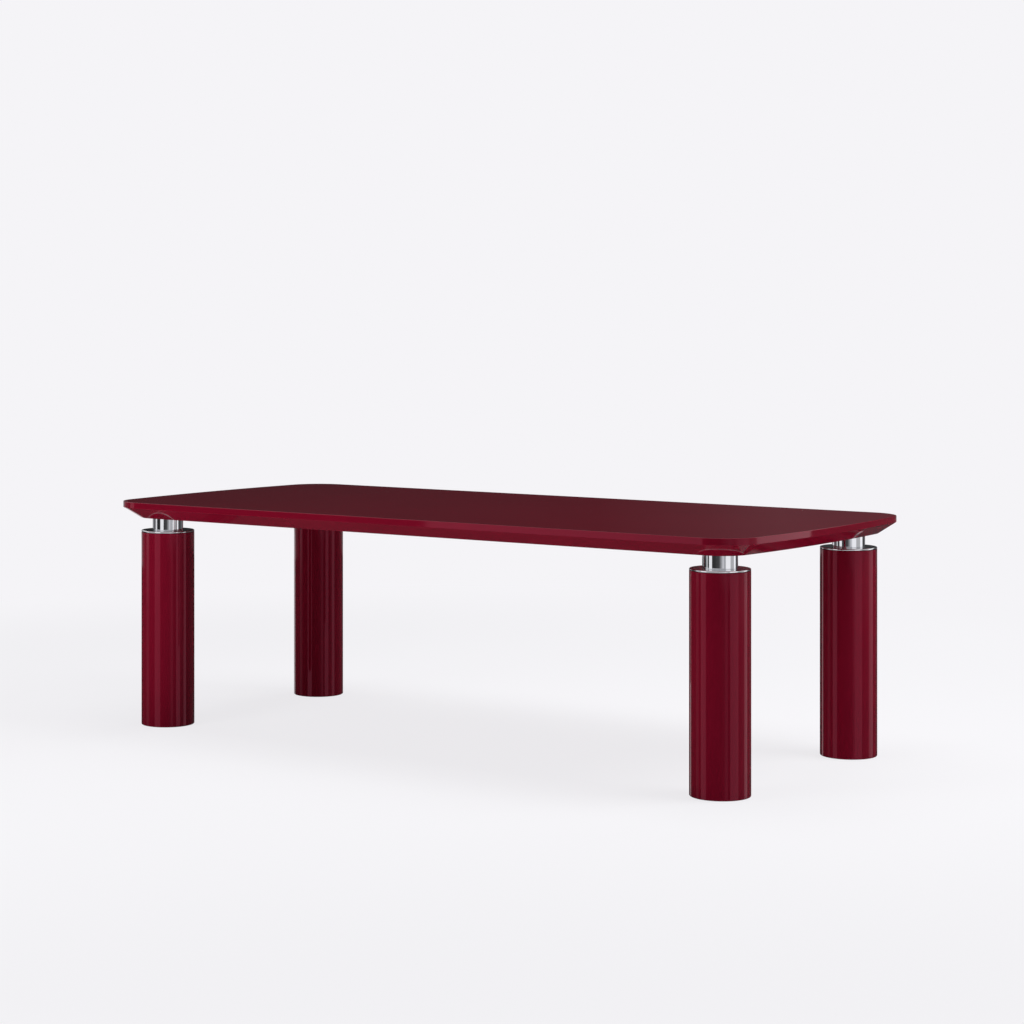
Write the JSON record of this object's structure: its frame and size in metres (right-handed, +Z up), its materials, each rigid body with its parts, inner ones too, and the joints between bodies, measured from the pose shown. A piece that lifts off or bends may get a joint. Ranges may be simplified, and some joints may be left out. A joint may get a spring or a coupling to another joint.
{
  "type": "rectangular dining table",
  "caption": "Rectangular dining table with a lacquered top, undercut edge and bowed ends, on round lacquered legs joined to the top by polished caps and slim chrome necks.",
  "frame": {"origin": "on the floor under the middle of the top", "axes": "+X along the length of the top, +Y across it towards the back, +Z up"},
  "size_m": [2.448, 1.086, 0.75],
  "materials": {
    "lacquer": "gloss",
    "chrome": "polished",
    "black_steel": "satin",
    "zinc_steel": "satin",
    "plywood": "matte",
    "felt": "matte"
  },
  "bodies": {
    "root": {"tabletop": "lacquer", "stiffener_rail_front": "black_steel", "stiffener_rail_back": "black_steel", "foot_ring_front_left": "felt", "column_base_disc_front_left": "plywood", "leg_column_front_left": "lacquer", "column_head_disc_front_left": "plywood", "cap_disc_front_left": "chrome", "neck_front_left": "chrome", "mounting_flange_front_left": "black_steel", "tie_rod_front_left": "zinc_steel", "tie_rod_washer_front_left": "zinc_steel", "tie_rod_nut_front_left": "zinc_steel", "foot_ring_front_right": "felt", "column_base_disc_front_right": "plywood", "leg_column_front_right": "lacquer", "column_head_disc_front_right": "plywood", "cap_disc_front_right": "chrome", "neck_front_right": "chrome", "mounting_flange_front_right": "black_steel", "tie_rod_front_right": "zinc_steel", "tie_rod_washer_front_right": "zinc_steel", "tie_rod_nut_front_right": "zinc_steel", "foot_ring_back_left": "felt", "column_base_disc_back_left": "plywood", "leg_column_back_left": "lacquer", "column_head_disc_back_left": "plywood", "cap_disc_back_left": "chrome", "neck_back_left": "chrome", "mounting_flange_back_left": "black_steel", "tie_rod_back_left": "zinc_steel", "tie_rod_washer_back_left": "zinc_steel", "tie_rod_nut_back_left": "zinc_steel", "foot_ring_back_right": "felt", "column_base_disc_back_right": "plywood", "leg_column_back_right": "lacquer", "column_head_disc_back_right": "plywood", "cap_disc_back_right": "chrome", "neck_back_right": "chrome", "mounting_flange_back_right": "black_steel", "tie_rod_back_right": "zinc_steel", "tie_rod_washer_back_right": "zinc_steel", "tie_rod_nut_back_right": "zinc_steel"}
  },
  "joints": []
}
